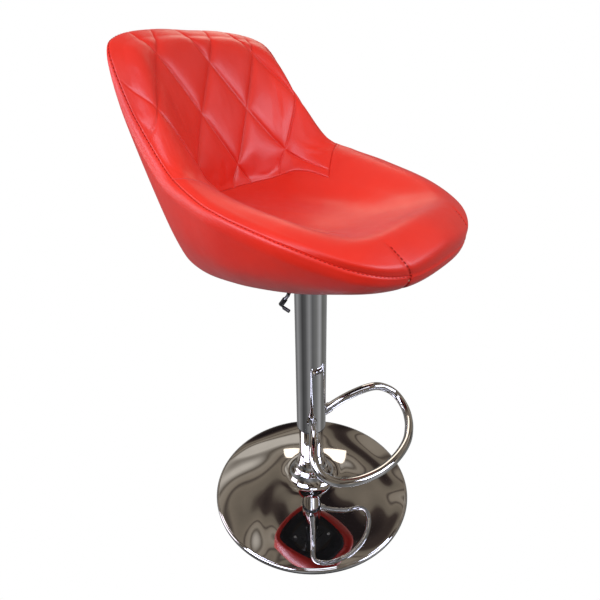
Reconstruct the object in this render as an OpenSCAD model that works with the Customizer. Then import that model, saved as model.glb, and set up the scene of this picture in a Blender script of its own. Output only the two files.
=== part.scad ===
// Gas-lift bar stool with a padded bucket seat, a bent footrest and a trumpet base.
// The origin is on the floor at the middle of the base, +Z is up and the sitter faces -Y.
// Lengths are in millimetres, and the seat is drawn at its lowest height.

/* [Base] */
// Outer radius of the round base
base_r = 205; // [195:1:215]
// Thickness of the rubber pad under the base
pad_t = 2.5; // [2:0.5:4]
// Height of the pressed dome where it meets the collar
dome_h = 62; // [58:1:64]
// Slope of the dome where it is flattest, near the hub, as rise over run
dome_slope = 0.06; // [0.04:0.01:0.1]
// Slope that the dome gains from there to its rim
rim_slope = 0.27; // [0.2:0.01:0.3]

/* [Column] */
// Outer radius of the fixed column tube
column_r = 25; // [24:0.5:25]
// Height of the fixed column tube's top edge
column_top = 455; // [440:5:460]
// Outer radius of the sleeve that rises with the seat
sleeve_r = 29; // [29:0.5:31]
// Height of the sleeve's bottom edge at the lowest seat position
sleeve_bottom = 175; // [165:5:195]
// Outer radius of the gas spring's pressure tube
pressure_r = 14; // [13:0.5:14]
// Outer radius of the gas spring's piston rod
rod_r = 5; // [4:0.5:5]

/* [Footrest] */
// Outer radius of the bent footrest tube
foot_r = 8; // [7:0.5:9]

/* [Seat] */
// Height of the flat underside of the bucket
seat_floor = 538; // [538:1:540]
// Side length of the square mounting flange
flange_w = 170; // [160:5:180]
// Spacing of the four mounting bolts
bolt_pitch = 124; // [116:4:128]
// Share of the padding's depth that lies above the moulded shell
pad_share = 0.5; // [0.4:0.05:0.55]

/* [Lever] */
// Radius of the lever's bent steel rod
lever_r = 3; // [2.5:0.5:3.5]
// Distance from the lever's pivot to the release pin
lever_arm = 30; // [28:1:32]

/* [Hidden] */
$fn = 64;

// Running clearance between parts that slide or turn on each other
run = 0.05;
// Gap between parts that pass without touching
gap = 0.5;

// Base heights, from the floor up
plate_t = 2.5;
plate_top = pad_t + plate_t;
shell_t = 0.8;
rim_h = 6.5;
collar_top = 104;
collar_r = 36;
socket_r = 31;

// Gas spring heights
floor_t = 4;
tube_floor_z = plate_top + 6;
race_z = tube_floor_z + floor_t;
race_t = 1.5;
ball_r = 1.5;
ball_ring = 9;
ball_count = 8;
cage_z = race_z + race_t;
upper_race_z = cage_z + 2 * ball_r;
bumper_z = upper_race_z + race_t;
bumper_h = 16;
pressure_bottom = bumper_z + bumper_h + 3;
wall = 2;
piston_z = 420;
piston_h = 14;

// Seat mechanism heights
plate_z = 508;
tub_h = 15;
sheet_t = 3;
tub_x = 50;
tub_y = 33;
board_z = plate_z + tub_h + sheet_t;
board_r = 104;
taper_h = 40;
pivot_z = plate_z + 9;
pin_top = plate_z + 5.4;
pivot_pin_r = 2.5;
bolt_r = 3;

// One half of the footrest's centre line, from the sleeve to the middle of the front bar
foot_half = [[-20, -16, 203], [-46, -40, 226], [-70, -59, 239], [-91, -76, 246], [-107, -88, 245],
    [-121, -99, 237], [-130, -112, 227], [-130, -127, 217], [-120, -145, 209], [-104, -160, 205],
    [-80, -175, 203], [-44, -189, 203], [0, -194, 203]];

// The lever rod's centre line, from the rocker to its tip
lever_path = [[-44, -2, 516], [-50, -2, 516], [-66, -12, 513], [-86, -26, 512], [-98, -32, 510.5],
    [-101, -29, 505], [-101, -19.5, 492], [-100, -24, 488], [-99, -35, 484.5]];
// The straight run of the rod that holds the grip
grip_run = 5;

// Control net of the bucket seat, right half, one row per station from the front to the back.
// Each row runs from the dish over the rim to the underside:
// dish, crease, bolster, inner edge, rim seam, outer edge, outer wall, bottom edge.
seat_net = [
    [[0, -80, 610], [0, -140, 620], [0, -190, 641], [0, -234, 619],
        [0, -237, 592], [0, -233, 576], [0, -223, 567], [0, -202, 561]],
    [[40, -78, 610], [74, -132, 622], [98, -184, 637], [97, -223, 611],
        [87, -228, 592], [85, -224, 577], [81, -213, 567], [72, -194, 561]],
    [[62, -60, 611], [108, -104, 628], [136, -155, 640], [158, -184, 625],
        [152, -193, 609], [152, -190, 591], [142, -174, 571], [118, -149, 555]],
    [[70, -35, 612], [118, -62, 633], [160, -93, 655], [187, -113, 648],
        [195, -120, 638], [195, -117, 615], [176, -103, 578], [138, -84, 544]],
    [[72, -8, 613], [118, -8, 639], [166, -12, 668], [197, -17, 669],
        [211, -20, 663], [214, -18, 640], [193, -12, 580], [148, -8, 536]],
    [[72, 15, 614], [114, 40, 645], [159, 47, 678], [189, 46, 684],
        [204, 45, 678], [209, 50, 655], [191, 52, 585], [150, 48, 533]],
    [[66, 40, 615], [108, 84, 653], [144, 91, 685], [173, 97, 704],
        [189, 105, 701], [199, 115, 681], [183, 98, 590], [148, 88, 532]],
    [[52, 60, 616], [98, 112, 653], [128, 124, 700], [158, 148, 768],
        [176, 168, 769], [189, 185, 749], [168, 140, 592], [140, 122, 532]],
    [[38, 72, 617], [84, 130, 647], [114, 142, 708], [138, 184, 819],
        [162, 214, 842], [177, 225, 824], [147, 164, 592], [128, 146, 532]],
    [[28, 80, 617], [64, 140, 642], [88, 153, 704], [114, 203, 838],
        [138, 232, 866], [146, 248, 853], [114, 184, 592], [102, 162, 532]],
    [[14, 84, 617], [32, 148, 640], [44, 162, 702], [58, 213, 847],
        [70, 237, 875], [75, 261, 862], [58, 196, 592], [53, 173, 532]],
    [[0, 85, 617], [0, 150, 640], [0, 165, 700], [0, 215, 848],
        [0, 238, 876], [0, 265, 863], [0, 199, 592], [0, 176, 532]]];
seat_centre = [0, -10, 612];
floor_centre = [0, -10, seat_floor];
// The flat underside reaches this share of the way out to the bottom edge
floor_share = 0.78;

// Sampling of the net: steps per station, and steps per control point along a row
steps_u = 2;
steps_v = 2;
last_station = len(seat_net) - 1;
half_cols = last_station * steps_u;
ring_cols = 2 * half_cols;
last_v = 5 * steps_v;
// The row step at the crease, and the column at the seam between seat and back
crease_v = 2 * steps_v;
wing_col = 6 * steps_u;
// Depth limits of the layers, from the inner skin to the outer one
shell_in = pad_share;
shell_out = pad_share + 0.12;

// Smooth curve through four points, at share f between the two middle ones
function curve4(a, b, c, d, f) =
    b + 0.5 * f * ((c - a) + f * ((2 * a - 5 * b + 4 * c - d) + f * (3 * (b - c) + d - a)));

function mirror_x(p) = [-p[0], p[1], p[2]];

// A control point of the net, mirrored past the front and back centre lines
function net_point(i, k) =
    i < 0 ? mirror_x(seat_net[-i][k])
    : i > last_station ? mirror_x(seat_net[2 * last_station - i][k])
    : seat_net[i][k];

// Control point k of the net at column j of the full ring
function ring_point(j, k) =
    let (jj = j % ring_cols, left = jj > half_cols, u = (left ? ring_cols - jj : jj) / steps_u)
    let (i = min(floor(u), last_station - 1), f = u - i)
    let (p = curve4(net_point(i - 1, k), net_point(i, k), net_point(i + 1, k),
        net_point(i + 2, k), f))
    left ? mirror_x(p) : p;

function to_floor(p, share) =
    [floor_centre[0] + (p[0] - floor_centre[0]) * share,
        floor_centre[1] + (p[1] - floor_centre[1]) * share, seat_floor];

// The inner row runs from the seat's centre to the rim seam
function inner_row(j) = [seat_centre, for (k = [0 : 4]) ring_point(j, k)];

// The outer row runs from the underside's centre to the outer edge
function outer_row(j) =
    let (b = ring_point(j, 7))
    [floor_centre, to_floor(b, floor_share / 2), to_floor(b, floor_share), b,
        ring_point(j, 6), ring_point(j, 5)];

// A point at step v of a row of six control points
function row_point(row, v) =
    let (i = min(floor(v / steps_v), 4), f = v / steps_v - i)
    curve4(i == 0 ? 2 * row[0] - row[1] : row[i - 1], row[i], row[i + 1],
        i == 4 ? 2 * row[5] - row[4] : row[i + 2], f);

// The middle of the underside is flat, where the mounting board lies against it
function flat_floor(p, v) = v <= 2 * steps_v ? [p[0], p[1], seat_floor] : p;

// A point of the bucket at column j and step v, at depth d from the inner skin to the outer one
function seat_point(j, v, d) =
    let (a = row_point(inner_row(j), v), b = flat_floor(row_point(outer_row(j), v), v))
    a + (b - a) * d;

// A layer that covers the middle: from the centre to step v1, all the way round
module disc_layer(v1, d0, d1) {
    n = ring_cols;
    points = [
        for (d = [d0, d1], v = [1 : v1], j = [0 : n - 1]) seat_point(j, v, d),
        seat_centre + (floor_centre - seat_centre) * d0,
        seat_centre + (floor_centre - seat_centre) * d1];
    lower = n * v1;
    top = 2 * lower;
    function id(v, j) = (v - 1) * n + j % n;
    faces = [
        for (j = [0 : n - 1]) [top, id(1, j + 1), id(1, j)],
        for (v = [1 : v1 - 1], j = [0 : n - 1]) [id(v, j), id(v, j + 1), id(v + 1, j + 1)],
        for (v = [1 : v1 - 1], j = [0 : n - 1]) [id(v, j), id(v + 1, j + 1), id(v + 1, j)],
        for (j = [0 : n - 1]) [top + 1, lower + id(1, j), lower + id(1, j + 1)],
        for (v = [1 : v1 - 1], j = [0 : n - 1])
            [lower + id(v, j), lower + id(v + 1, j + 1), lower + id(v, j + 1)],
        for (v = [1 : v1 - 1], j = [0 : n - 1])
            [lower + id(v, j), lower + id(v + 1, j), lower + id(v + 1, j + 1)],
        for (j = [0 : n - 1]) [id(v1, j), id(v1, j + 1), lower + id(v1, j + 1)],
        for (j = [0 : n - 1]) [id(v1, j), lower + id(v1, j + 1), lower + id(v1, j)]];
    polyhedron(points, faces, convexity = 8);
}

// A layer of wall: columns j0 to j1 and steps v0 to v1
module wall_layer(j0, j1, v0, v1, d0, d1) {
    nj = j1 - j0 + 1;
    nv = v1 - v0 + 1;
    points = [for (d = [d0, d1], v = [v0 : v1], j = [j0 : j1]) seat_point(j, v, d)];
    lower = nj * nv;
    function id(v, j) = v * nj + j;
    faces = [
        for (v = [0 : nv - 2], j = [0 : nj - 2]) [id(v, j), id(v, j + 1), id(v + 1, j + 1)],
        for (v = [0 : nv - 2], j = [0 : nj - 2]) [id(v, j), id(v + 1, j + 1), id(v + 1, j)],
        for (v = [0 : nv - 2], j = [0 : nj - 2])
            [lower + id(v, j), lower + id(v + 1, j + 1), lower + id(v, j + 1)],
        for (v = [0 : nv - 2], j = [0 : nj - 2])
            [lower + id(v, j), lower + id(v + 1, j), lower + id(v + 1, j + 1)],
        for (j = [0 : nj - 2]) [id(0, j), lower + id(0, j + 1), id(0, j + 1)],
        for (j = [0 : nj - 2]) [id(0, j), lower + id(0, j), lower + id(0, j + 1)],
        for (j = [0 : nj - 2]) [id(nv - 1, j), id(nv - 1, j + 1), lower + id(nv - 1, j + 1)],
        for (j = [0 : nj - 2]) [id(nv - 1, j), lower + id(nv - 1, j + 1), lower + id(nv - 1, j)],
        for (v = [0 : nv - 2]) [id(v, 0), id(v + 1, 0), lower + id(v + 1, 0)],
        for (v = [0 : nv - 2]) [id(v, 0), lower + id(v + 1, 0), lower + id(v, 0)],
        for (v = [0 : nv - 2]) [id(v, nj - 1), lower + id(v + 1, nj - 1), id(v + 1, nj - 1)],
        for (v = [0 : nv - 2]) [id(v, nj - 1), lower + id(v, nj - 1), lower + id(v + 1, nj - 1)]];
    polyhedron(points, faces, convexity = 8);
}

// A tube or bar swept along a list of points, as rings of sides
module sweep(path, r, sides) {
    n = len(path);
    function along(i) =
        let (d = path[min(i + 1, n - 1)] - path[max(i - 1, 0)]) d / norm(d);
    function across(i) = let (c = cross([0, 0, 1], along(i))) c / norm(c);
    function ring(i) =
        let (a = across(i), b = cross(along(i), a))
        [for (s = [0 : sides - 1]) path[i] + r * (cos(360 * s / sides) * a + sin(360 * s / sides) * b)];
    points = [for (i = [0 : n - 1]) each ring(i)];
    function id(i, s) = i * sides + s % sides;
    faces = [
        [for (s = [0 : sides - 1]) id(0, s)],
        [for (s = [0 : sides - 1]) id(n - 1, sides - 1 - s)],
        for (i = [0 : n - 2], s = [0 : sides - 1]) [id(i, s + 1), id(i, s), id(i + 1, s)],
        for (i = [0 : n - 2], s = [0 : sides - 1]) [id(i, s + 1), id(i + 1, s), id(i + 1, s + 1)]];
    polyhedron(points, faces, convexity = 6);
}

// A ring or tube: outer and inner radius, bottom and top height
module ring(ro, ri, z0, z1) {
    translate([0, 0, z0])
        difference() {
            cylinder(r = ro, h = z1 - z0);
            translate([0, 0, -1]) cylinder(r = ri, h = z1 - z0 + 2);
        }
}

// A straight round bar between two points
module bar(a, b, r) {
    d = b - a;
    len_d = norm(d);
    translate(a)
        rotate([0, acos(d[2] / len_d), atan2(d[1], d[0])])
            cylinder(r = r, h = len_d);
}

module at_bolts() {
    for (x = [-1, 1], y = [-1, 1])
        translate([x * bolt_pitch / 2, y * bolt_pitch / 2, 0]) children();
}

// Dome height over radius: a crown that steepens to its rim and flares up into the hub
dome_edge = base_r - 2;
flare_run = 7;
function crown_z(r) =
    dome_slope * (dome_edge - r) + rim_slope * dome_edge / 3 * (1 - pow(r / dome_edge, 3));
flare_rise = dome_h - rim_h - 3 - crown_z(collar_r);
function dome_z(r) = rim_h + 3 + crown_z(r) + flare_rise * exp(-(r - collar_r) / flare_run);
dome_radii = [base_r - 4, 194, 182, 168, 150, 130, 105, 80, 67, 58, 52, 48, 45, 42.5, 40, 38, collar_r];

module floor_pad() {
    color([0.04, 0.04, 0.04]) cylinder(r = base_r - 1, h = pad_t);
}

module ballast_plate() {
    color([0.1, 0.1, 0.1]) ring(base_r - 12, 10, pad_t, plate_top);
}

module base_shell() {
    color([0.85, 0.85, 0.87])
        rotate_extrude($fn = 180)
            polygon([
                [base_r - 2, pad_t], [base_r, pad_t + 1], [base_r, rim_h],
                [base_r - 1.2, rim_h + 2],
                for (r = dome_radii) [r, dome_z(r)],
                [collar_r - shell_t, dome_z(collar_r)],
                for (i = [len(dome_radii) - 1 : -1 : 0])
                    [dome_radii[i] - shell_t, dome_z(dome_radii[i]) - 2 * shell_t],
                [base_r - 7, pad_t]]);
}

module base_collar() {
    color([0.85, 0.85, 0.87])
        rotate_extrude()
            polygon([
                [column_r + run, dome_h], [collar_r, dome_h], [collar_r, dome_h + 4],
                [collar_r - 2, dome_h + 6],
                for (a = [0 : 15 : 75]) [column_r + 1.5 + 7.5 * (1 - sin(a)),
                    collar_top - 34 + 32 * (1 - cos(a)) * 1.05],
                [column_r + 1.5, collar_top - 2], [column_r + 0.8, collar_top],
                [column_r + run, collar_top]]);
}

module tube_socket() {
    color([0.2, 0.2, 0.2]) ring(socket_r, column_r, plate_top, dome_h - 6);
}

module column_tube() {
    color([0.8, 0.8, 0.82]) ring(column_r, column_r - wall, plate_top, column_top);
}

module tube_floor() {
    color([0.5, 0.5, 0.5]) ring(column_r - wall, rod_r - 1 + run, tube_floor_z, race_z);
}

module guide_bush() {
    color([0.08, 0.08, 0.08]) {
        ring(column_r - wall, pressure_r + run, column_top - 40, column_top);
        ring(column_r, pressure_r + run, column_top, column_top + 3);
    }
}

module lower_race() {
    color([0.6, 0.6, 0.6]) ring(12, rod_r + 1, race_z, cage_z);
}

module bearing_cage() {
    color([0.7, 0.6, 0.3])
        difference() {
            ring(12, rod_r + 1, cage_z + ball_r - 0.6, cage_z + ball_r + 0.6);
            for (i = [0 : ball_count - 1])
                rotate([0, 0, 360 * i / ball_count])
                    translate([ball_ring, 0, cage_z]) cylinder(r = ball_r + run, h = 2 * ball_r, $fn = 32);
        }
}

module bearing_balls() {
    color([0.75, 0.75, 0.75])
        for (i = [0 : ball_count - 1])
            rotate([0, 0, 360 * i / ball_count])
                translate([ball_ring, 0, cage_z + ball_r]) sphere(r = ball_r, $fn = 24);
}

module upper_race() {
    color([0.6, 0.6, 0.6]) ring(12, rod_r, upper_race_z, bumper_z);
}

module rod_clip() {
    color([0.3, 0.3, 0.3]) ring(9, rod_r - 1, tube_floor_z - 3, tube_floor_z - 0.4);
}

module piston_rod() {
    color([0.7, 0.7, 0.72]) {
        translate([0, 0, tube_floor_z - 5]) cylinder(r = rod_r - 1, h = floor_t + 6);
        translate([0, 0, race_z + 1]) cylinder(r = rod_r, h = piston_z - race_z - 1);
        translate([0, 0, piston_z]) cylinder(r = rod_r - 1, h = piston_h + 4);
    }
}

module piston() {
    color([0.5, 0.5, 0.5]) ring(pressure_r - wall - gap, rod_r - 1, piston_z, piston_z + piston_h);
}

module rod_bumper() {
    color([0.05, 0.05, 0.05]) ring(10, rod_r, bumper_z, bumper_z + bumper_h);
}

module pressure_tube() {
    color([0.1, 0.1, 0.1])
        difference() {
            union() {
                translate([0, 0, pressure_bottom])
                    cylinder(r = pressure_r, h = plate_z - taper_h - pressure_bottom);
                translate([0, 0, plate_z - taper_h])
                    cylinder(r1 = pressure_r, r2 = pressure_r - 0.9, h = taper_h);
            }
            translate([0, 0, pressure_bottom - 1])
                cylinder(r = pressure_r - wall, h = plate_z - pressure_bottom - 5);
            translate([0, 0, plate_z - 10]) cylinder(r = 8, h = 20);
        }
}

module tube_gland() {
    color([0.3, 0.3, 0.3])
        ring(pressure_r - wall, rod_r + run, pressure_bottom, pressure_bottom + 14);
}

module valve_block() {
    color([0.6, 0.6, 0.6]) ring(pressure_r - wall, 4 + run, plate_z - 40, plate_z - 8);
}

module release_pin() {
    color([0.8, 0.8, 0.3]) translate([0, 0, plate_z - 36]) cylinder(r = 4, h = pin_top - plate_z + 36);
}

module outer_sleeve() {
    color([0.8, 0.8, 0.82]) ring(sleeve_r, sleeve_r - wall, sleeve_bottom, plate_z);
}

module sleeve_bush() {
    color([0.03, 0.03, 0.03]) {
        ring(sleeve_r - wall, column_r + run, sleeve_bottom, sleeve_bottom + 24);
        ring(sleeve_r - 0.4, column_r + run, sleeve_bottom - 3, sleeve_bottom);
    }
}

// The whole centre line of the footrest, smoothed between its points
foot_full = concat(foot_half, [for (i = [len(foot_half) - 2 : -1 : 0]) mirror_x(foot_half[i])]);
foot_steps = 3;
function foot_at(i) = foot_full[min(max(i, 0), len(foot_full) - 1)];
foot_path = [
    for (i = [0 : len(foot_full) - 2], s = [0 : foot_steps - 1])
        curve4(foot_at(i - 1), foot_at(i), foot_at(i + 1), foot_at(i + 2), s / foot_steps),
    foot_full[len(foot_full) - 1]];

module footrest() {
    color([0.85, 0.85, 0.87])
        difference() {
            sweep(foot_path, foot_r, 12);
            cylinder(r = sleeve_r + 2, h = 400);
        }
}

// A short ring round each end of the footrest, against the sleeve
module footrest_collars() {
    a = foot_half[0];
    arm = (foot_half[1] - a) / norm(foot_half[1] - a);
    color([0.85, 0.85, 0.87])
        for (side = [0, 1])
            mirror([side, 0, 0])
                difference() {
                    bar(a, a + 16 * arm, foot_r + 2);
                    bar(a - 10 * arm, a + 30 * arm, foot_r + 0.3);
                    cylinder(r = sleeve_r, h = 400);
                }
}

module taper_socket() {
    color([0.1, 0.1, 0.1])
        translate([0, 0, plate_z - taper_h])
            difference() {
                cylinder(r = 20, h = taper_h);
                cylinder(r1 = pressure_r, r2 = pressure_r - 0.9, h = taper_h);
            }
}

module seat_plate() {
    color([0.06, 0.06, 0.06])
        difference() {
            union() {
                translate([-tub_x, -tub_y, plate_z]) cube([2 * tub_x, 2 * tub_y, tub_h]);
                translate([-flange_w / 2, -flange_w / 2, plate_z + tub_h])
                    cube([flange_w, flange_w, sheet_t]);
            }
            translate([-tub_x + sheet_t, -tub_y + sheet_t, plate_z + sheet_t])
                cube([2 * (tub_x - sheet_t), 2 * (tub_y - sheet_t), tub_h + 10]);
            translate([0, 0, plate_z - 1]) cylinder(r = 9, h = 10);
            translate([-tub_x - 1, -18, plate_z + 4]) cube([sheet_t + 2, 26, tub_h - 4]);
            translate([-lever_arm, tub_y + 1, pivot_z])
                rotate([90, 0, 0]) cylinder(r = pivot_pin_r, h = 2 * tub_y + 2);
            at_bolts() translate([0, 0, plate_z]) cylinder(r = bolt_r + 0.3, h = 30);
        }
}

module seat_bolts() {
    color([0.15, 0.15, 0.15])
        at_bolts() {
            translate([0, 0, board_z - sheet_t - 5]) cylinder(r = 6, h = 4);
            translate([0, 0, board_z - sheet_t - 1]) cylinder(r = bolt_r, h = 13);
        }
}

module bolt_washers() {
    color([0.6, 0.6, 0.6])
        at_bolts() ring(8, bolt_r + 0.3, board_z - sheet_t - 1, board_z - sheet_t);
}

module mounting_board() {
    color([0.55, 0.42, 0.28])
        difference() {
            translate([0, 0, board_z]) cylinder(r = board_r, h = seat_floor - board_z);
            at_bolts() translate([0, 0, board_z - 1]) cylinder(r = bolt_r + 1.5, h = 30);
            at_bolts() translate([0, 0, seat_floor - 2]) cylinder(r = 9, h = 3);
        }
}

module t_nuts() {
    color([0.6, 0.6, 0.6])
        at_bolts() {
            ring(bolt_r + 1.5, bolt_r, board_z + 1, seat_floor - 2);
            ring(9, bolt_r, seat_floor - 2, seat_floor - 0.5);
        }
}

module lever_pin() {
    color([0.6, 0.6, 0.6])
        translate([-lever_arm, tub_y + 2, pivot_z])
            rotate([90, 0, 0]) cylinder(r = pivot_pin_r, h = 2 * tub_y + 4);
}

module lever_rocker() {
    bar_z = pin_top + 0.4;
    color([0.45, 0.45, 0.46])
        difference() {
            union() {
                translate([-lever_arm - 14, -5, bar_z]) cube([lever_arm + 18, 10, 5]);
                translate([-lever_arm, 7, pivot_z]) rotate([90, 0, 0]) cylinder(r = 5, h = 14);
            }
            translate([-lever_arm, 20, pivot_z])
                rotate([90, 0, 0]) cylinder(r = pivot_pin_r + run, h = 40);
        }
}

module lever_rod() {
    color([0.55, 0.55, 0.56]) sweep(lever_path, lever_r, 12);
}

// The grip covers the middle of one straight run of the rod
module lever_grip() {
    a = lever_path[grip_run];
    b = lever_path[grip_run + 1];
    color([0.02, 0.02, 0.02])
        difference() {
            bar(a + 0.06 * (b - a), a + 0.94 * (b - a), lever_r + 1.2);
            bar(a - 0.1 * (b - a), a + 1.1 * (b - a), lever_r);
        }
}

module base_pan() {
    color([0.1, 0.1, 0.1]) disc_layer(crease_v, shell_out, 1);
}

module seat_shell() {
    color([0.6, 0.45, 0.3]) disc_layer(last_v, shell_in, shell_out);
}

module seat_cushion() {
    color([0.8, 0.1, 0.08]) disc_layer(crease_v, 0, shell_in);
}

module side_bolster() {
    color([0.8, 0.12, 0.1])
        wall_layer(ring_cols - wing_col, ring_cols + wing_col, crease_v, last_v, 0, shell_in);
}

module back_pad() {
    color([0.82, 0.14, 0.12])
        wall_layer(wing_col, ring_cols - wing_col, crease_v, last_v, 0, shell_in);
}

module outer_front_cover() {
    color([0.75, 0.08, 0.08])
        wall_layer(ring_cols - wing_col, ring_cols + wing_col, crease_v, last_v, shell_out, 1);
}

module outer_back_cover() {
    color([0.72, 0.08, 0.08])
        wall_layer(wing_col, ring_cols - wing_col, crease_v, last_v, shell_out, 1);
}

floor_pad();
ballast_plate();
base_shell();
base_collar();
tube_socket();
column_tube();
tube_floor();
guide_bush();
lower_race();
bearing_cage();
bearing_balls();
upper_race();
rod_clip();
piston_rod();
piston();
rod_bumper();
pressure_tube();
tube_gland();
valve_block();
release_pin();
outer_sleeve();
sleeve_bush();
footrest();
footrest_collars();
taper_socket();
seat_plate();
seat_bolts();
bolt_washers();
mounting_board();
t_nuts();
lever_pin();
lever_rocker();
lever_rod();
lever_grip();
base_pan();
seat_shell();
seat_cushion();
side_bolster();
back_pad();
outer_front_cover();
outer_back_cover();
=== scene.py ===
"""A gas-lift bar stool: quilted leatherette bucket seat on a chrome column with a trumpet base.

Lengths in the tables are millimetres in the stool's own frame, and meshes are made in metres.
"""

import math

import bmesh
import bpy
import numpy as np
from mathutils import Matrix, Vector


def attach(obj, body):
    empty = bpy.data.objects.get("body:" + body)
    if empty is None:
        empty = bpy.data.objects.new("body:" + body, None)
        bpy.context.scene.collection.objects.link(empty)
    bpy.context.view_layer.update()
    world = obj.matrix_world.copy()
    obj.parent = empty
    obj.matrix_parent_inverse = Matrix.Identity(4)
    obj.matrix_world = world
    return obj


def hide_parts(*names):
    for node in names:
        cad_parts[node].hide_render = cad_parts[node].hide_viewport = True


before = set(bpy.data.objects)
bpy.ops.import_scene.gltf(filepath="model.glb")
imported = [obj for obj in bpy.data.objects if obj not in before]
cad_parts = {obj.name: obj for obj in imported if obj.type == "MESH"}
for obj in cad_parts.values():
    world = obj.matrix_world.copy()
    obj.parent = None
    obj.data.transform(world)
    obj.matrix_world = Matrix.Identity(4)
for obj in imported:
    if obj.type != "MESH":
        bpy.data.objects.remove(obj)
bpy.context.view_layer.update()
MM = 0.001
scene = bpy.context.scene


# ---------------------------------------------------------------- camera

CAMERA_PLACE = (-0.6083, -0.4740, 0.8374)
CAMERA_FORWARD = (0.6931, 0.5676, -0.4443)
CAMERA_UP = (0.354, 0.2689, 0.8958)
FOCAL = 29.11


def make_camera():
    forward = Vector(CAMERA_FORWARD).normalized()
    right = forward.cross(Vector(CAMERA_UP)).normalized()
    up = right.cross(forward)
    data = bpy.data.cameras.new("camera")
    data.lens = FOCAL
    data.sensor_width = 36.0
    camera = bpy.data.objects.new("camera", data)
    axes = Matrix((right, up, -forward)).transposed()
    camera.matrix_world = Matrix.Translation(CAMERA_PLACE) @ axes.to_4x4()
    scene.collection.objects.link(camera)
    scene.camera = camera


make_camera()


# ---------------------------------------------------------------- seat surface

# Control net of the bucket, right half, one row per station from the front to the back.
# dish, crease, bolster, inner edge, rim seam, outer edge, outer wall, bottom edge
SEAT_NET = np.array([
    [(0, -80, 610), (0, -140, 620), (0, -190, 641), (0, -234, 619),
     (0, -237, 592), (0, -233, 576), (0, -223, 567), (0, -202, 561)],
    [(40, -78, 610), (74, -132, 622), (98, -184, 637), (97, -223, 611),
     (87, -228, 592), (85, -224, 577), (81, -213, 567), (72, -194, 561)],
    [(62, -60, 611), (108, -104, 628), (136, -155, 640), (158, -184, 625),
     (152, -193, 609), (152, -190, 591), (142, -174, 571), (118, -149, 555)],
    [(70, -35, 612), (118, -62, 633), (160, -93, 655), (187, -113, 648),
     (195, -120, 638), (195, -117, 615), (176, -103, 578), (138, -84, 544)],
    [(72, -8, 613), (118, -8, 639), (166, -12, 668), (197, -17, 669),
     (211, -20, 663), (214, -18, 640), (193, -12, 580), (148, -8, 536)],
    [(72, 15, 614), (114, 40, 645), (159, 47, 678), (189, 46, 684),
     (204, 45, 678), (209, 50, 655), (191, 52, 585), (150, 48, 533)],
    [(66, 40, 615), (108, 84, 653), (144, 91, 685), (173, 97, 704),
     (189, 105, 701), (199, 115, 681), (183, 98, 590), (148, 88, 532)],
    [(52, 60, 616), (98, 112, 653), (128, 124, 700), (158, 148, 768),
     (176, 168, 769), (189, 185, 749), (168, 140, 592), (140, 122, 532)],
    [(38, 72, 617), (84, 130, 647), (114, 142, 708), (138, 184, 819),
     (162, 214, 842), (177, 225, 824), (147, 164, 592), (128, 146, 532)],
    [(28, 80, 617), (64, 140, 642), (88, 153, 704), (114, 203, 838),
     (138, 232, 866), (146, 248, 853), (114, 184, 592), (102, 162, 532)],
    [(14, 84, 617), (32, 148, 640), (44, 162, 702), (58, 213, 847),
     (70, 237, 875), (75, 261, 862), (58, 196, 592), (53, 173, 532)],
    [(0, 85, 617), (0, 150, 640), (0, 165, 700), (0, 215, 848),
     (0, 238, 876), (0, 265, 863), (0, 199, 592), (0, 176, 532)]], float)
SEAT_CENTRE = np.array((0, -10, 612), float)
FLOOR_CENTRE = np.array((0, -10, 538), float)
FLOOR_SHARE = 0.78
LAST = len(SEAT_NET) - 1
MIRROR = np.array((-1, 1, 1), float)


def curve4(a, b, c, d, f):
    return b + 0.5 * f * ((c - a) + f * ((2 * a - 5 * b + 4 * c - d) + f * (3 * (b - c) + d - a)))


def net_columns(u):
    """Control points at ring positions u: 0 is the front, LAST the back, 2 * LAST the front again."""
    u = np.mod(np.asarray(u, float), 2 * LAST)
    left = u > LAST
    half = np.where(left, 2 * LAST - u, u)
    padded = np.concatenate([[SEAT_NET[1] * MIRROR], SEAT_NET, [SEAT_NET[-2] * MIRROR]])
    i = np.minimum(half.astype(int), LAST - 1)
    f = (half - i)[:, None, None]
    p = curve4(padded[i], padded[i + 1], padded[i + 2], padded[i + 3], f)
    return np.where(left[:, None, None], p * MIRROR, p)


def to_floor(p, share):
    q = FLOOR_CENTRE + (p - FLOOR_CENTRE) * share
    q[:, 2] = FLOOR_CENTRE[2]
    return q


# Positions of the named control points along the skin, from the seat's centre (0) to the underside's
DISH, CREASE, BOLSTER, SEAM, CREST, OUTER, BOTTOM, FLAT, UNDER_CENTRE = 1, 2, 3, 5, 6, 7, 9, 10, 12


def skin_columns(u):
    """The full rows of the skin: over the rim and down to the middle of the underside."""
    p = net_columns(u)
    n = len(p)
    inward = FLOOR_CENTRE - p[:, 4]
    inward[:, 2] = 0
    inward /= np.linalg.norm(inward, axis=1)[:, None]
    span = p[:, 5] - p[:, 4]
    out, up = 0.6, 0.8
    outward = np.stack([-inward[:, 0] * out, -inward[:, 1] * out, np.full(n, up)], 1)
    plump = np.interp(half_ring(u), *RIM_PLUMP)[:, None]
    reach = np.linalg.norm(span, axis=1)[:, None] * plump
    crest = (p[:, 4] + p[:, 5]) / 2 + outward * reach
    rows = [np.tile(SEAT_CENTRE, (n, 1)), p[:, 0], p[:, 1], p[:, 2], p[:, 3], p[:, 4], crest,
            p[:, 5], p[:, 6], p[:, 7], to_floor(p[:, 7], FLOOR_SHARE),
            to_floor(p[:, 7], FLOOR_SHARE / 2), np.tile(FLOOR_CENTRE, (n, 1))]
    return np.stack(rows, 1)


# Most that the curve's speed past the crest may be, in lengths of the stretch that it ends
CREST_HOLD = 2.4
# How far the crest of the rim stands out, as a share of the rim's width, over the ring position
RIM_PLUMP = ((0, 6, 8, 9.5, 11), (0.22, 0.22, 0.7, 0.7, 0.6))
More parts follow.
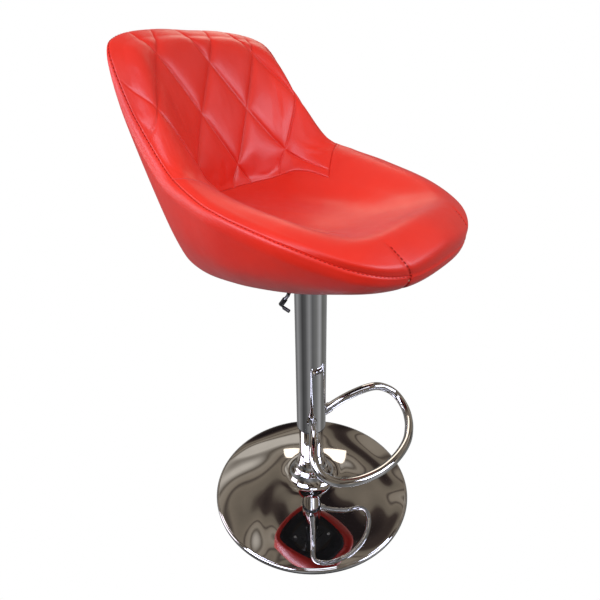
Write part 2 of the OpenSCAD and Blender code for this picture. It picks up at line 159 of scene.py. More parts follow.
# How far the rim seam lies beyond its control point, towards the crest, over the ring position
RIM_SHIFT = ((0, 5.5, 6, 6.5, 7, 8, 9, 11), (0, 0, 0.15, 0.3, 0.5, 0.75, 0.9, 0.95))
# Ring position of the seam up each wing, between the seat cover and the back panel, over the skin position
WING_SEAM = ((2, 3, 4, 5), (5.1, 5.4, 5.55, 5.75))


def half_ring(u):
    """Ring position folded on to the right half: 0 at the front, LAST at the back."""
    u = np.mod(u, 2 * LAST)
    return np.minimum(u, 2 * LAST - u)


def wing_seam(s):
    return np.interp(s, *WING_SEAM)


def place(u, s):
    """Points of the skin at matching arrays of ring and skin positions."""
    shape = np.shape(u)
    u, s = np.ravel(u), np.ravel(s)
    shift = np.interp(half_ring(u), *RIM_SHIFT)
    inner = np.clip((s - BOLSTER) / 2, 0, 1) ** 2
    s = s + shift * np.where(s < SEAM, inner, np.clip((OUTER - s) / 2, 0, 1))
    rows = skin_columns(u)
    padded = np.concatenate([2 * rows[:, :1] - rows[:, 1:2], rows, 2 * rows[:, -1:] - rows[:, -2:-1]], 1)
    i = np.clip(s.astype(int), 0, rows.shape[1] - 2)
    f = (s - i)[:, None]
    k = np.arange(len(s))
    before, start, end, after = (padded[k, i + step] for step in range(4))
    # A long stretch after a short one would throw the curve out past the crest
    ahead = np.linalg.norm(end - start, axis=1) / np.maximum(np.linalg.norm(after - start, axis=1), 1e-9)
    held = np.where(i == CREST, np.minimum(1, CREST_HOLD * ahead), 1)[:, None]
    p = curve4(before, start, end, start + held * (after - start), f)
    return p.reshape(*shape, 3)


def skin(u, s):
    """Points, outward normals, and mm per unit of skin and of ring position."""
    step = 2e-3
    p = place(u, s)
    ds = (place(u, s + step) - place(u, np.maximum(s - step, 0))) / (2 * step)
    du = (place(u + step, s) - place(u - step, s)) / (2 * step)
    n = np.cross(ds, du)
    length = np.linalg.norm(n, axis=-1, keepdims=True)
    n = np.where(length > 1e-3, n / np.maximum(length, 1e-9), np.array((0.0, 0.0, 1.0)))
    return p, n, np.linalg.norm(ds, axis=-1), np.linalg.norm(du, axis=-1)


# ---------------------------------------------------------------- helpers

def new_object(name, verts, faces):
    mesh = bpy.data.meshes.new(name)
    mesh.from_pydata([tuple(v) for v in verts], [], [tuple(f) for f in faces])
    mesh.validate()
    mesh.polygons.foreach_set("use_smooth", [True] * len(mesh.polygons))
    mesh.update()
    obj = bpy.data.objects.new(name, mesh)
    scene.collection.objects.link(obj)
    return obj


def grid_faces(ns, nu, closed, base=0):
    """Quads of a grid of ns rows by nu columns, whose first vertex is number base."""
    faces = []
    for i in range(ns - 1):
        for j in range(nu if closed else nu - 1):
            k = (j + 1) % nu
            row, after = base + i * nu, base + (i + 1) * nu
            faces.append((row + j, row + k, after + k, after + j))
    return faces


def lathe(name, profile, steps):
    """A closed solid of revolution about the column's axis, from (radius, height) pairs in mm."""
    verts = []
    for a in range(steps):
        c, s = math.cos(2 * math.pi * a / steps), math.sin(2 * math.pi * a / steps)
        verts += [(r * c * MM, r * s * MM, z * MM) for r, z in profile]
    n = len(profile)
    faces = []
    for a in range(steps):
        b = (a + 1) % steps
        faces += [(a * n + i, b * n + i, b * n + (i + 1) % n, a * n + (i + 1) % n) for i in range(n)]
    return new_object(name, verts, faces)


def sweep(name, path, radius, sides):
    """A round bar along a list of points in mm, with its ends closed."""
    path = np.asarray(path, float)
    tangent = np.gradient(path, axis=0)
    tangent /= np.linalg.norm(tangent, axis=1)[:, None]
    side = np.cross((0.0, 0.0, 1.0), tangent[0])
    verts = []
    for i, p in enumerate(path):
        side = side - tangent[i] * (side @ tangent[i])
        side /= np.linalg.norm(side)
        other = np.cross(tangent[i], side)
        for k in range(sides):
            a = 2 * math.pi * k / sides
            verts.append((p + radius * (math.cos(a) * side + math.sin(a) * other)) * MM)
    faces = grid_faces(len(path), sides, True)
    n = len(path) * sides
    faces.append(tuple(range(sides))[::-1])
    faces.append(tuple(range(n - sides, n)))
    return new_object(name, verts, faces)


def smooth_path(points, steps):
    """A curve through the points, with the ends extended straight."""
    p = np.asarray(points, float)
    q = np.concatenate([[2 * p[0] - p[1]], p, [2 * p[-1] - p[-2]]])
    out = []
    for i in range(len(p) - 1):
        for f in np.arange(steps) / steps:
            out.append(curve4(q[i], q[i + 1], q[i + 2], q[i + 3], f))
    out.append(p[-1])
    return np.array(out)


def finish_piece(obj, body, material, replaced=()):
    """Gives a piece its material, the body that it rides on, and the CAD nodes that it stands in for."""
    obj.data.materials.clear()
    obj.data.materials.append(material)
    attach(obj, body)
    if replaced:
        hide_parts(*replaced)


# ---------------------------------------------------------------- upholstery

# Ring position of the darts on either side of the nose, and where they start on the skin
DART = 1
DART_TOP = 3.3
# Skin position where the outer wrap is stapled under the seat
STAPLES = 9.55
# Thickness of the modelled skins, in mm
COVER, WRAP, DUST_COVER = 5.0, 3.0, 2.0
# How far the pillows between the quilting lines stand up before the padding is simulated
PILLOW = 5.5
# Half width of a sewn line, and of the sewn edges, that the simulation holds still, in mm
SEWN_LINE, SEWN_EDGE = 1.3, 2
# The padding's simulation: how much the cloth grows, how far it may move in mm, and how stiff it bends
CLOTH_GROWTH, CLOTH_CAP, CLOTH_BENDING, CLOTH_FRAMES = 0.001, 3, 30, 20
# Sewn thread, in mm
STITCH_PITCH, STITCH_LENGTH, STITCH_RADIUS = 6.0, 4.2, 0.38


def spaced(*runs):
    """Positions in runs of (start, end, steps), each joined to the next."""
    parts = [np.linspace(a, b, n, endpoint=False) for a, b, n in runs]
    return np.concatenate(parts + [[runs[-1][1]]])


def dip(distance, depth, width):
    """A smooth groove, as a lift below zero."""
    return -depth * np.exp(-(distance / width) ** 2)


def quilt_lines(p):
    """Distances in mm to the two families of quilting lines on the back."""
    # Half the diamonds' width and height, the height of a crossing, and how fast t changes off a line
    across, up, crossing, slant = 52, 81, 835, 0.01143
    x = p[..., 0]
    b = p[..., 2] - 14 * (np.abs(x) / 104) ** 1.2
    found = []
    for sign in (1, -1):
        t = (x / across + sign * (b - crossing) / up) / 2
        found.append(np.abs(t - np.round(t)) / slant)
    return found


def whole(p):
    """A mask that keeps every cell of a grid."""
    return np.ones(p.shape[:2], bool)


def masked_shell(name, p, n, keep, closed, depth):
    """A closed skin of the kept cells of a grid: the surface, a copy sunk by depth, and the sides."""
    ns, nu = p.shape[:2]
    verts = np.concatenate([p.reshape(-1, 3), (p - n * depth).reshape(-1, 3)]) * MM
    lower = ns * nu
    faces = []
    columns = nu if closed else nu - 1
    edges = {}
    for i in range(ns - 1):
        for j in range(columns):
            if not keep[i, j]:
                continue
            k = (j + 1) % nu
            a, b, c, d = i * nu + j, i * nu + k, (i + 1) * nu + k, (i + 1) * nu + j
            quad = (a, d, c, b)
            faces.append(quad)
            faces.append(tuple(lower + q for q in quad[::-1]))
            for e in ((a, d), (d, c), (c, b), (b, a)):
                if (e[1], e[0]) in edges:
                    del edges[(e[1], e[0])]
                else:
                    edges[e] = True
    faces += [(b, a, lower + a, lower + b) for a, b in edges]
    obj = new_object(name, verts, faces)
    bm = bmesh.new()
    bm.from_mesh(obj.data)
    bmesh.ops.delete(bm, geom=[v for v in bm.verts if not v.link_faces], context="VERTS")
    bmesh.ops.remove_doubles(bm, verts=bm.verts, dist=1e-6)
    bm.to_mesh(obj.data)
    bm.free()
    obj.data.polygons.foreach_set("use_smooth", [True] * len(obj.data.polygons))
    return obj


def stuffed(p, pinned):
    """The grid after its padding has pushed it out: cloth held at the pinned points.

    It runs on every second row and column, and no point moves further than CLOTH_CAP."""
    rows, columns = (np.append(np.arange(0, count - 1, 2), count - 1) for count in p.shape[:2])
    coarse = p[np.ix_(rows, columns)]
    held = pinned[np.ix_(rows, columns)]
    ns, nu = coarse.shape[:2]
    obj = new_object("padding", coarse.reshape(-1, 3) * MM,
                     [f[::-1] for f in grid_faces(ns, nu, False)])
    group = obj.vertex_groups.new(name="held")
    group.add([int(i) for i in np.flatnonzero(held)], 1.0, "REPLACE")
    cloth = obj.modifiers.new("cloth", "CLOTH").settings
    cloth.quality = 6
    cloth.mass = 0.15
    cloth.tension_stiffness = 20
    cloth.compression_stiffness = 20
    cloth.shear_stiffness = 10
    cloth.bending_stiffness = CLOTH_BENDING
    cloth.vertex_group_mass = "held"
    cloth.shrink_min = -CLOTH_GROWTH
    cloth.use_pressure = True
    cloth.uniform_pressure_force = 5
    cloth.effector_weights.gravity = 0
    for frame_number in range(1, CLOTH_FRAMES + 1):
        scene.frame_set(frame_number)
    settled = obj.evaluated_get(bpy.context.evaluated_depsgraph_get())
    moved = np.array([v.co for v in settled.data.vertices]).reshape(ns, nu, 3) / MM - coarse
    scene.frame_set(1)
    bpy.data.objects.remove(obj)
    length = np.linalg.norm(moved, axis=-1, keepdims=True)
    moved *= np.minimum(1, CLOTH_CAP / np.maximum(length, 1e-9))
    around = np.pad(moved, ((1, 1), (1, 1), (0, 0)), mode="edge")
    moved = sum(around[i:i + ns, j:j + nu] for i in range(3) for j in range(3)) / 9
    moved[held] = 0
    return p + regrid(moved, rows, columns, p.shape[0], p.shape[1])


def regrid(coarse, rows, columns, ns, nu):
    """Values of a coarse grid at every row and column of the fine one."""
    def weights(places, count):
        at = np.arange(count)
        i = np.clip(np.searchsorted(places, at, side="right") - 1, 0, len(places) - 2)
        return i, (at - places[i]) / (places[i + 1] - places[i])
    i, f = weights(rows, ns)
    j, g = weights(columns, nu)
    f, g = f[:, None, None], g[None, :, None]
    a, b = coarse[i][:, j], coarse[i][:, j + 1]
    c, d = coarse[i + 1][:, j], coarse[i + 1][:, j + 1]
    return (a * (1 - g) + b * g) * (1 - f) + (c * (1 - g) + d * g) * f


def seat_cover_grid():
    """The seat's inside and bolster, with the front's nose between the two darts down to the staples."""
    wing = wing_seam(CREASE)
    us = spaced((-wing, -DART, 90), (-DART, DART, 56), (DART, wing, 90), (wing, 2 * LAST - wing, 200))[:-1]
    ss = spaced((0, DISH, 10), (DISH, CREASE, 24), (CREASE, BOLSTER, 22), (BOLSTER, SEAM, 44),
                (SEAM, OUTER, 18), (OUTER, BOTTOM, 40), (BOTTOM, STAPLES, 8))
    u, s = np.meshgrid(us, ss)
    front = u <= wing
    swing = (wing_seam(s) - wing) * np.clip((np.abs(u) - DART) / (wing - DART), 0, 1) ** 2
    u = np.where(front, u + np.sign(u) * swing, u)
    p, n, per_s, per_u = skin(u, s)
    ring = half_ring(u)
    to_wing = (wing_seam(np.maximum(s, CREASE)) - ring) * per_u
    behind = np.where(ring >= wing, np.abs(s - CREASE) * per_s,
                      np.hypot(np.maximum(CREASE - s, 0) * per_s, to_wing))
    far = 99
    rim = np.where(ring > DART, np.abs(s - SEAM) * per_s, far)
    dart = np.hypot(np.maximum(DART_TOP - s, 0) * per_s, (ring - DART) * per_u)
    lift = 1.5 * np.sin(np.pi * np.clip(s / CREASE, 0, 1)) ** 2
    lift += dip(behind, 0.8, 1.4) + dip(behind, 1.2, 12)
    lift += dip(rim, 1.1, 1.0) + dip(dart, 1.4, 1.0) + dip(dart, 0.5, 4)
    lift += 5 * np.exp(-((s - 1.9) / 0.6) ** 2) * np.exp(-(half_ring(u) / 2.4) ** 2)
    fold = (s - 2.02) * per_s
    reach = np.clip((-u - 1.1) / 1.2, 0, 1) * np.clip((u + 4.6) / 1.4, 0, 1)
    lift += reach * (3.4 * np.exp(-(fold / 4) ** 2) - 2.0 * np.exp(-((fold + 8) / 5) ** 2))
    mid_u = (us + np.roll(us, -1)) / 2
    mid_u[-1] = (us[-1] + 2 * LAST - wing) / 2
    mu, ms = np.meshgrid(half_ring(mid_u), (ss[1:] + ss[:-1]) / 2)
    keep = (ms < CREASE) | ((ms < SEAM) & (mu < wing)) | (mu < DART)
    return p + n * lift[..., None], n, keep


def back_quilt_grid():
    """The quilted back, from the crease behind the seat to the rim seam."""
    share = np.linspace(0, 1, 441)
    ss = spaced((CREASE, SEAM, 170))
    t, s = np.meshgrid(share, ss)
    u = wing_seam(s) + t * (2 * LAST - 2 * wing_seam(s))
    p, n, per_s, per_u = skin(u, s)
    ends = np.minimum(u - wing_seam(s), 2 * LAST - wing_seam(s) - u) * per_u
    border = np.minimum((s - CREASE) * per_s, ends)
    rim = (SEAM - s) * per_s
    lines = np.minimum(*quilt_lines(p))
    lift = (1 - np.exp(-border / 16)) * (1 - np.exp(-(rim / 55) ** 1.3))
    for d in quilt_lines(p):
        lift = lift * (1 - np.exp(-d / 7.0))
    lift = PILLOW * lift - 1.0 * (1 - np.exp(-rim / 5))
    sewn = (lines < SEWN_LINE) | (border < SEWN_EDGE) | (rim < SEWN_EDGE)
    p = stuffed(p + n * lift[..., None], sewn)
    groove = dip(lines, 1.2, 1.2) * (1 - np.exp(-rim / 8)) + dip(rim, 0.7, 1.1) + dip(border, 0.6, 1.3)
    return p + n * groove[..., None], n


def outer_wrap_grid():
    """The outside, from dart to dart round the back and from the rim seam to the staples."""
    us = np.linspace(DART, 2 * LAST - DART, 361)
    ss = spaced((SEAM, OUTER, 22), (OUTER, BOTTOM, 40), (BOTTOM, STAPLES, 8))
    u, s = np.meshgrid(us, ss)
    p, n, per_s, per_u = skin(u, s)
    rim = (s - SEAM) * per_s
    ends = np.minimum(u - DART, 2 * LAST - DART - u) * per_u
    lift = dip(rim, 1.1, 1.0) + dip(ends, 1.4, 1.0) + dip(ends, 0.5, 4)
    return p + n * lift[..., None], n


def underside_grid():
    """The dust cloth, from the staples to the middle of the underside."""
    us = np.arange(0, 2 * LAST, 1 / 8)
    ss = spaced((STAPLES, FLAT, 8), (FLAT, UNDER_CENTRE, 12))
    u, s = np.meshgrid(us, ss)
    p, n, _, _ = skin(u, s)
    n[-1] = (0, 0, -1)
    sunk = 1.0
    return p - n * sunk, n


def stitches(name, path, normals):
    """A row of sewn stitches along a path on the skin, in mm, each a short bowed thread."""
    gaps = np.linalg.norm(np.diff(path, axis=0), axis=1)
    run = np.concatenate([[0], np.cumsum(gaps)])
    count = int(run[-1] / STITCH_PITCH)
    half = STITCH_LENGTH / 2
    sides, rings = 6, 5
    verts, faces = [], []
    for k in range(count):
        at = (k + 0.5) * run[-1] / count + np.linspace(-half, half, rings)
        centre = np.stack([np.interp(at, run, path[:, a]) for a in range(3)], 1)
        up = np.stack([np.interp(at, run, normals[:, a]) for a in range(3)], 1)
        bow = 1 - np.linspace(-1, 1, rings) ** 2
        centre = centre + up * (bow * 0.55 - 0.25)[:, None]
        direction = centre[-1] - centre[0]
        direction /= np.linalg.norm(direction)
        base = len(verts)
        for i in range(rings):
            side = np.cross(up[i], direction)
            side /= np.linalg.norm(side)
            r = STITCH_RADIUS * (0.55 + 0.45 * bow[i])
            for a in np.arange(sides) * 2 * math.pi / sides:
                verts.append((centre[i] + r * (math.cos(a) * side + math.sin(a) * up[i])) * MM)
        faces += grid_faces(rings, sides, True, base)
        faces.append(tuple(base + q for q in range(sides))[::-1])
        faces.append(tuple(base + (rings - 1) * sides + q for q in range(sides)))
    return new_object(name, verts, faces)


def seam_path(us, ss, sunk):
    """A line on the skin through matching ring and skin positions, with its normals."""
    p, n, _, _ = skin(us, ss)
    return p + n * sunk, n


# ---------------------------------------------------------------- materials

def node_material(name):
    made = bpy.data.materials.new(name)
    made.use_nodes = True
    tree = made.node_tree
    return made, tree, tree.nodes["Principled BSDF"]


def add(tree, kind):
    return tree.nodes.new(kind)


def noise(tree, scale, detail):
    """A noise texture in the object's own space."""
    at = add(tree, "ShaderNodeTexCoord")
    made = add(tree, "ShaderNodeTexNoise")
    made.inputs["Scale"].default_value = scale
    made.inputs["Detail"].default_value = detail
    tree.links.new(at.outputs["Object"], made.inputs["Vector"])
    return made


def ramp(tree, source, stops):
    """Colours by (place, colour) stops along a value."""
    made = add(tree, "ShaderNodeValToRGB")
    elements = made.color_ramp.elements
    while len(elements) < len(stops):
        elements.new(0.5)
    for e, (place, colour) in zip(elements, stops):
        e.position = place
        e.color = (*colour, 1)
    tree.links.new(source, made.inputs["Fac"])
    return made.outputs["Color"]


def spread(tree, source, low, high):
    """Maps a 0.3 to 0.7 texture value on to low to high."""
    made = add(tree, "ShaderNodeMapRange")
    for key, value in (("From Min", 0.3), ("From Max", 0.7), ("To Min", low), ("To Max", high)):
        made.inputs[key].default_value = value
    tree.links.new(source, made.inputs["Value"])
    return made.outputs["Result"]


def bump(tree, shader, layers):
    """Layers of (height output, distance in metres, strength), each added to the one before."""
    last = None
    for height, distance, strength in layers:
        made = add(tree, "ShaderNodeBump")
        made.inputs["Distance"].default_value = distance
        made.inputs["Strength"].default_value = strength
        tree.links.new(height, made.inputs["Height"])
        if last:
            tree.links.new(last, made.inputs["Normal"])
        last = made.outputs["Normal"]
    tree.links.new(last, shader.inputs["Normal"])


def grain_cells(tree, scale):
    """Pebbled grain: cells with low lines between them."""
    at = add(tree, "ShaderNodeTexCoord")
    made = add(tree, "ShaderNodeTexVoronoi")
    made.feature = "DISTANCE_TO_EDGE"
    made.inputs["Scale"].default_value = scale
    tree.links.new(at.outputs["Object"], made.inputs["Vector"])
    clipped = add(tree, "ShaderNodeMapRange")
    clipped.inputs["From Max"].default_value = 0.25
    tree.links.new(made.outputs["Distance"], clipped.inputs["Value"])
    return clipped.outputs["Result"]


def tint(tree, shader, source, stops):
    tree.links.new(ramp(tree, source, stops), shader.inputs["Base Color"])


def gloss(tree, shader, scale, detail, low, high):
    """Uneven roughness, from low to high."""
    patches = noise(tree, scale, detail).outputs["Fac"]
    tree.links.new(spread(tree, patches, low, high), shader.inputs["Roughness"])


def leatherette(name, dark, light, sheen):
    made, tree, shader = node_material(name)
    tint(tree, shader, noise(tree, 9, 4).outputs["Fac"], [(0.3, dark), (0.7, light)])
    gloss(tree, shader, 60, 4, 0.36, 0.46)
    shader.inputs["Specular IOR Level"].default_value = 0.3
    shader.inputs["Coat Weight"].default_value = 0.4
    shader.inputs["Coat Roughness"].default_value = 0.32
    shader.inputs["Sheen Weight"].default_value = sheen
    shader.inputs["Sheen Roughness"].default_value = 0.5
    shader.inputs["Sheen Tint"].default_value = (1.0, 0.6, 0.68, 1)
    bump(tree, shader, [
        (noise(tree, 26, 3).outputs["Fac"], 0.004, 0.25),
        (grain_cells(tree, 900), 0.00012, 0.6),
        (noise(tree, 1800, 2).outputs["Fac"], 0.00008, 0.5)])
    return made


def metal(name, colour, rough, grain=0.0):
    """A bare or plated metal, with a little grain where it isn't polished."""
    made, tree, shader = node_material(name)
    shade = tuple(c * 0.94 for c in colour)
    tint(tree, shader, noise(tree, 30, 4).outputs["Fac"], [(0.35, shade), (0.65, colour)])
    shader.inputs["Metallic"].default_value = 1.0
    gloss(tree, shader, 120, 5, rough * 0.7, rough * 1.3)
    if grain:
        bump(tree, shader, [(noise(tree, 700, 2).outputs["Fac"], 0.0001, grain)])
    return made


def solid(name, dark, light, rough, fine=900, specular=0.5):
    """A painted, moulded or rubber surface: mottled colour, uneven gloss and a fine skin."""
    made, tree, shader = node_material(name)
    tint(tree, shader, noise(tree, 40, 4).outputs["Fac"], [(0.35, dark), (0.65, light)])
    gloss(tree, shader, 120, 4, rough * 0.85, rough * 1.15)
    shader.inputs["Specular IOR Level"].default_value = specular
    bump(tree, shader, [(noise(tree, fine, 3).outputs["Fac"], 0.0002, 0.3)])
    return made


def plywood():
    made, tree, shader = node_material("plywood")
    at = add(tree, "ShaderNodeTexCoord")
    wave = add(tree, "ShaderNodeTexWave")
    wave.bands_direction = "Z"
    wave.inputs["Scale"].default_value = 160
    wave.inputs["Distortion"].default_value = 1.5
    tree.links.new(at.outputs["Object"], wave.inputs["Vector"])
    tint(tree, shader, wave.outputs["Fac"], [(0.2, (0.030, 0.022, 0.016)), (0.8, (0.075, 0.055, 0.04))])
    shader.inputs["Roughness"].default_value = 0.75
    bump(tree, shader, [(noise(tree, 300, 4).outputs["Fac"], 0.0004, 0.4)])
    return made


def dust_cloth():
    made, tree, shader = node_material("dust_cloth")
    at = add(tree, "ShaderNodeTexCoord")
    layers = []
    for axis in ("X", "Y"):
        wave = add(tree, "ShaderNodeTexWave")
        wave.bands_direction = axis
        wave.inputs["Scale"].default_value = 260
        tree.links.new(at.outputs["Object"], wave.inputs["Vector"])
        layers.append((wave.outputs["Fac"], 0.0003, 0.5))
    tint(tree, shader, noise(tree, 200, 4).outputs["Fac"],
         [(0.3, (0.008, 0.008, 0.009)), (0.7, (0.03, 0.03, 0.032))])
    shader.inputs["Roughness"].default_value = 0.9
    shader.inputs["Sheen Weight"].default_value = 0.3
    bump(tree, shader, layers)
    return made


RED = leatherette("red_leatherette", (0.60, 0.010, 0.0005), (0.68, 0.014, 0.001), sheen=0.07)
THREAD = solid("red_thread", (0.12, 0.002, 0.002), (0.17, 0.003, 0.003), 0.8, fine=2500, specular=0.05)
CHROME = metal("chrome", (0.80, 0.80, 0.82), 0.035)
BRIGHT = metal("bright_steel", (0.55, 0.55, 0.56), 0.3, 0.3)
DARK_STEEL = metal("dark_steel", (0.16, 0.16, 0.165), 0.28, 0.2)
BRASS = metal("brass_cage", (0.68, 0.50, 0.22), 0.3, 0.3)
RUBBER = solid("black_rubber", (0.010, 0.010, 0.010), (0.020, 0.020, 0.020), 0.7)
BLACK_STEEL = solid("black_steel", (0.012, 0.012, 0.013), (0.022, 0.022, 0.024), 0.42, fine=500)
PLASTIC = solid("black_plastic", (0.012, 0.012, 0.012), (0.022, 0.022, 0.022), 0.32, fine=700)
SHELL = solid("moulded_ply", (0.42, 0.28, 0.15), (0.55, 0.38, 0.22), 0.7, fine=200)
PLY = plywood()
CLOTH = dust_cloth()

NODE_MATERIALS = {
    CHROME: ["base_collar", "column_tube", "outer_sleeve", "footrest_collars", "base_shell", "footrest"],
    RUBBER: ["floor_pad", "rod_bumper"],
    BLACK_STEEL: ["ballast_plate", "tube_socket", "pressure_tube", "taper_socket", "seat_plate"],
    BRIGHT: ["tube_floor", "lower_race", "bearing_balls", "upper_race", "rod_clip", "piston_rod",
             "release_pin", "seat_bolts", "bolt_washers", "t_nuts", "lever_pin", "lever_rocker"],
    DARK_STEEL: ["lever_rod"],
    BRASS: ["bearing_cage"],
    PLASTIC: ["guide_bush", "piston", "tube_gland", "valve_block", "sleeve_bush", "lever_grip"],
    PLY: ["mounting_board"],
    SHELL: ["seat_shell"],
    RED: ["seat_cushion", "side_bolster", "back_pad", "outer_front_cover", "outer_back_cover"],
    CLOTH: ["base_pan"],
}
for material, names in NODE_MATERIALS.items():
    for node_name in names:
        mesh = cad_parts[node_name].data
        mesh.materials.clear()
        mesh.materials.append(material)


# ---------------------------------------------------------------- pieces

def build_upholstery():
    p, n, keep = seat_cover_grid()
    cover = masked_shell("seat_cover", p, n, keep, True, COVER)
    finish_piece(cover, "seat", RED, ["seat_cushion", "side_bolster"])
    p, n = back_quilt_grid()
    quilt = masked_shell("back_quilt", p, n, whole(p), False, COVER)
    finish_piece(quilt, "seat", RED, ["back_pad"])
    p, n = outer_wrap_grid()
    wrap = masked_shell("outer_wrap", p, n, whole(p), False, WRAP)
    finish_piece(wrap, "seat", RED, ["outer_front_cover", "outer_back_cover"])
    p, n = underside_grid()
    under = masked_shell("underside_cloth", p, n, whole(p), True, DUST_COVER)
    finish_piece(under, "seat", CLOTH, ["base_pan"])


def build_stitching():
    """Thread along the rim seam and down the two darts."""
    us = np.linspace(DART + 0.05, 2 * LAST - DART - 0.05, 900)
    _, _, per_s, _ = skin(us, np.full(len(us), 5.1))
    path, normals = seam_path(us, SEAM + 1.2 / per_s, -0.5)
    finish_piece(stitches("rim_stitches", path, normals), "seat", THREAD)
    for name, side in (("dart_stitches_right", 1), ("dart_stitches_left", -1)):
        ss = np.linspace(3.4, 9.3, 160)
        path, normals = seam_path(np.full(len(ss), side * (DART - 0.015)), ss, -0.8)
        finish_piece(stitches(name, path, normals), "seat", THREAD)


def base_profile():
    """The pressed dome: a rolled rim, a crown that steepens towards it, and a flare up to the collar."""
    base_r, pad_t, rim_h, shell_t = 205, 2.5, 6.5, 1.0
    dome_h, slope, rim_slope, collar_r, flare_run = 62, 0.06, 0.27, 36, 7
    edge = base_r - 2

    def rise(r):
        return slope * (edge - r) + rim_slope * edge / 3 * (1 - (r / edge) ** 3)

    flare = dome_h - rim_h - 3 - rise(collar_r)
    radii = np.concatenate([np.linspace(base_r - 4, 80, 60), np.linspace(79, collar_r, 60)])
    height = rim_h + 3 + rise(radii) + flare * np.exp(-(radii - collar_r) / flare_run)
    bend = [(base_r - 4 + 4 * math.sin(a), rim_h - 1 + 4.6 * math.cos(a) - 0.2)
            for a in np.linspace(math.pi / 2, 0.05, 12)]
    top = [(base_r - 2, pad_t), (base_r - 0.5, pad_t + 0.6)] + bend + list(zip(radii, height))
    under = [(r - shell_t, z - 2 * shell_t) for r, z in list(zip(radii, height))[::-1]]
    return [(float(r), float(z)) for r, z in top + under + [(base_r - 6, pad_t)]]


def build_metalwork():
    """The dome and the footrest, as finer versions of their CAD nodes."""
    dome = lathe("base_dome", base_profile(), 360)
    finish_piece(dome, "base", CHROME, ["base_shell"])
    half = [(-20, -16, 203), (-46, -40, 226), (-70, -59, 239), (-91, -76, 246), (-107, -88, 245),
            (-121, -99, 237), (-130, -112, 227), (-130, -127, 217), (-120, -145, 209), (-104, -160, 205),
            (-80, -175, 203), (-44, -189, 203), (0, -194, 203)]
    whole = half + [(-x, y, z) for x, y, z in half[-2::-1]]
    path = smooth_path(whole, 12)
    sleeve_r, tube_r = 29, 8
    clear = np.hypot(path[:, 0], path[:, 1]) > sleeve_r
    rail = sweep("footrest_rail", path[clear], tube_r, 40)
    finish_piece(rail, "seat", CHROME, ["footrest"])


# ---------------------------------------------------------------- stage

def build_stage():
    """A floor that catches bounced light and shows to neither the camera nor the chrome."""
    half, level = 6, -0.0005
    corners = [(-half, -half, level), (half, -half, level), (half, half, level), (-half, half, level)]
    floor = new_object("floor", corners, [(0, 1, 2, 3)])
    made, tree, shader = node_material("floor")
    tint(tree, shader, noise(tree, 2, 3).outputs["Fac"],
         [(0.3, (0.07, 0.065, 0.06)), (0.7, (0.09, 0.085, 0.08))])
    shader.inputs["Roughness"].default_value = 0.9
    floor.data.materials.append(made)
    floor.visible_glossy = False
    floor.visible_camera = False


def background(tree, colour):
    made = tree.nodes.new("ShaderNodeBackground")
    tree.links.new(colour, made.inputs["Color"])
    return made.outputs["Background"]


def mapped(tree, source, low, high):
    """The source's share of the way from low to high."""
    made = tree.nodes.new("ShaderNodeMapRange")
    made.inputs["From Min"].default_value = low
    made.inputs["From Max"].default_value = high
    tree.links.new(source, made.inputs["Value"])
    return made.outputs["Result"]


def chosen(tree, kind, share, first, second):
    """A mix node's result: the first at share 0, the second at share 1."""
    made = tree.nodes.new(kind)
    tree.links.new(share, made.inputs["Fac"])
    tree.links.new(first, made.inputs[1])
    tree.links.new(second, made.inputs[2])
    return made.outputs[0]


def room_colour(tree, direction, height):
    """What chrome reflects: a cluttered brown room above, and a grey floor with upright streaks below."""
    clutter = tree.nodes.new("ShaderNodeTexNoise")
    clutter.inputs["Scale"].default_value = 1.3
    clutter.inputs["Detail"].default_value = 1.0
    clutter.inputs["Distortion"].default_value = 1.6
    tree.links.new(direction, clutter.inputs["Vector"])
    above = ramp(tree, clutter.outputs["Fac"], [
        (0.34, (0.014, 0.010, 0.010)), (0.41, (0.05, 0.036, 0.03)), (0.44, (0.15, 0.125, 0.095)),
        (0.51, (0.20, 0.165, 0.125)), (0.53, (0.07, 0.055, 0.045)), (0.55, (0.24, 0.20, 0.155)),
        (0.60, (0.28, 0.24, 0.19)), (0.63, (0.11, 0.09, 0.07)), (0.68, (0.55, 0.50, 0.43))])
    turn = tree.nodes.new("ShaderNodeTexGradient")
    turn.gradient_type = "RADIAL"
    tree.links.new(direction, turn.inputs["Vector"])
    below = ramp(tree, turn.outputs["Fac"], [
        (0.0, (0.10, 0.10, 0.10)), (0.08, (0.30, 0.30, 0.30)), (0.14, (0.12, 0.12, 0.12)),
        (0.22, (0.18, 0.18, 0.175)), (0.30, (0.40, 0.40, 0.40)), (0.36, (0.14, 0.14, 0.13)),
        (0.46, (0.20, 0.20, 0.19)), (0.54, (0.26, 0.26, 0.26)), (0.60, (0.08, 0.08, 0.07)),
        (0.66, (0.22, 0.22, 0.215)), (0.74, (0.17, 0.17, 0.17)), (0.80, (0.32, 0.32, 0.32)),
        (0.86, (0.20, 0.20, 0.20)), (0.93, (0.06, 0.06, 0.06)), (1.0, (0.10, 0.10, 0.10))])
    return chosen(tree, "ShaderNodeMixRGB", mapped(tree, height, -0.12, 0.12), below, above)


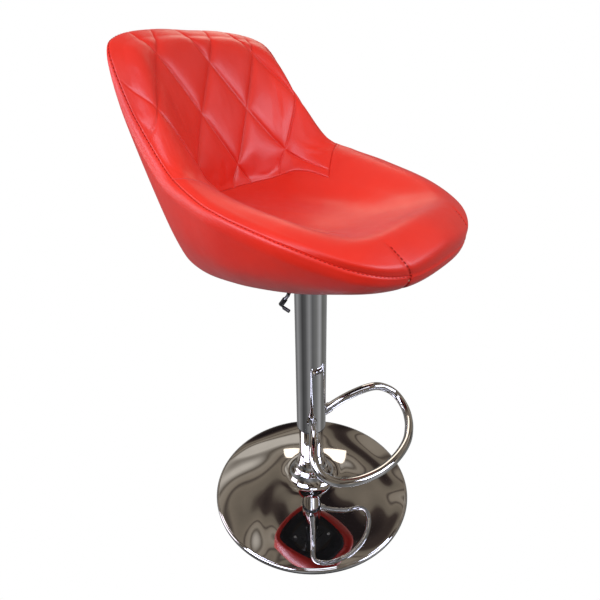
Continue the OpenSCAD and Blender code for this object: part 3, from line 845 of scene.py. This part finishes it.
def build_world():
    """White to the camera, a soft sky for fill light, and a dim room in reflections."""
    world = bpy.data.worlds.new("room")
    scene.world = world
    world.use_nodes = True
    tree = world.node_tree
    tree.nodes.clear()
    out = tree.nodes.new("ShaderNodeOutputWorld")
    at = tree.nodes.new("ShaderNodeTexCoord")
    direction = at.outputs["Generated"]
    split = tree.nodes.new("ShaderNodeSeparateXYZ")
    tree.links.new(direction, split.inputs["Vector"])
    height = split.outputs["Z"]
    fill = background(tree, ramp(tree, mapped(tree, height, -1, 1), [
        (0.0, (0.02, 0.02, 0.02)), (0.45, (0.10, 0.10, 0.10)), (0.7, (0.70, 0.70, 0.70)),
        (1.0, (0.85, 0.85, 0.85))]))
    room = background(tree, room_colour(tree, direction, height))
    white = background(tree, ramp(tree, height, [(0.0, (1, 1, 1)), (1.0, (1, 1, 1))]))
    sight = tree.nodes.new("ShaderNodeLightPath")
    unseen = chosen(tree, "ShaderNodeMixShader", sight.outputs["Is Glossy Ray"], fill, room)
    seen = chosen(tree, "ShaderNodeMixShader", sight.outputs["Is Camera Ray"], unseen, white)
    tree.links.new(seen, out.inputs["Surface"])


def area_light(name, place, aim, size, power, colour):
    data = bpy.data.lights.new(name, "AREA")
    data.shape = "RECTANGLE"
    data.size, data.size_y = size
    data.energy = power
    data.color = colour
    lamp = bpy.data.objects.new(name, data)
    lamp.location = place
    lamp.rotation_mode = "QUATERNION"
    lamp.rotation_quaternion = (Vector(aim) - Vector(place)).to_track_quat("-Z", "Y")
    lamp.visible_camera = False
    scene.collection.objects.link(lamp)


def build_lights():
    """Large soft panels, each given by its brightness, so that they read alike in gloss at any size."""
    for name, place, size, brightness, colour in (
            ("left", (-2.5, 0.3, 1.8), (2.4, 1.5), 6.0, (0.90, 0.92, 1.14)),
            ("rear", (-1.7, 2.3, 0.9), (1.6, 1.5), 2.6, (1.0, 0.90, 1.0)),
            ("front", (0.7, -2.6, 1.7), (1.8, 1.2), 6.2, (0.9, 0.95, 1.15)),
            ("high", (-1.2, -1.4, 2.8), (1.2, 1.2), 1.8, (0.95, 0.97, 1.06)),
            ("window", (2.03, 1.5, 2.35), (1.3, 1.4), 1.7, (1.0, 0.86, 0.70))):
        area_light(name, place, (0, 0, 0.6), size, brightness * math.pi * size[0] * size[1], colour)


build_upholstery()
build_stitching()
build_metalwork()
build_stage()
build_world()
build_lights()
scene.view_settings.view_transform = "Standard"
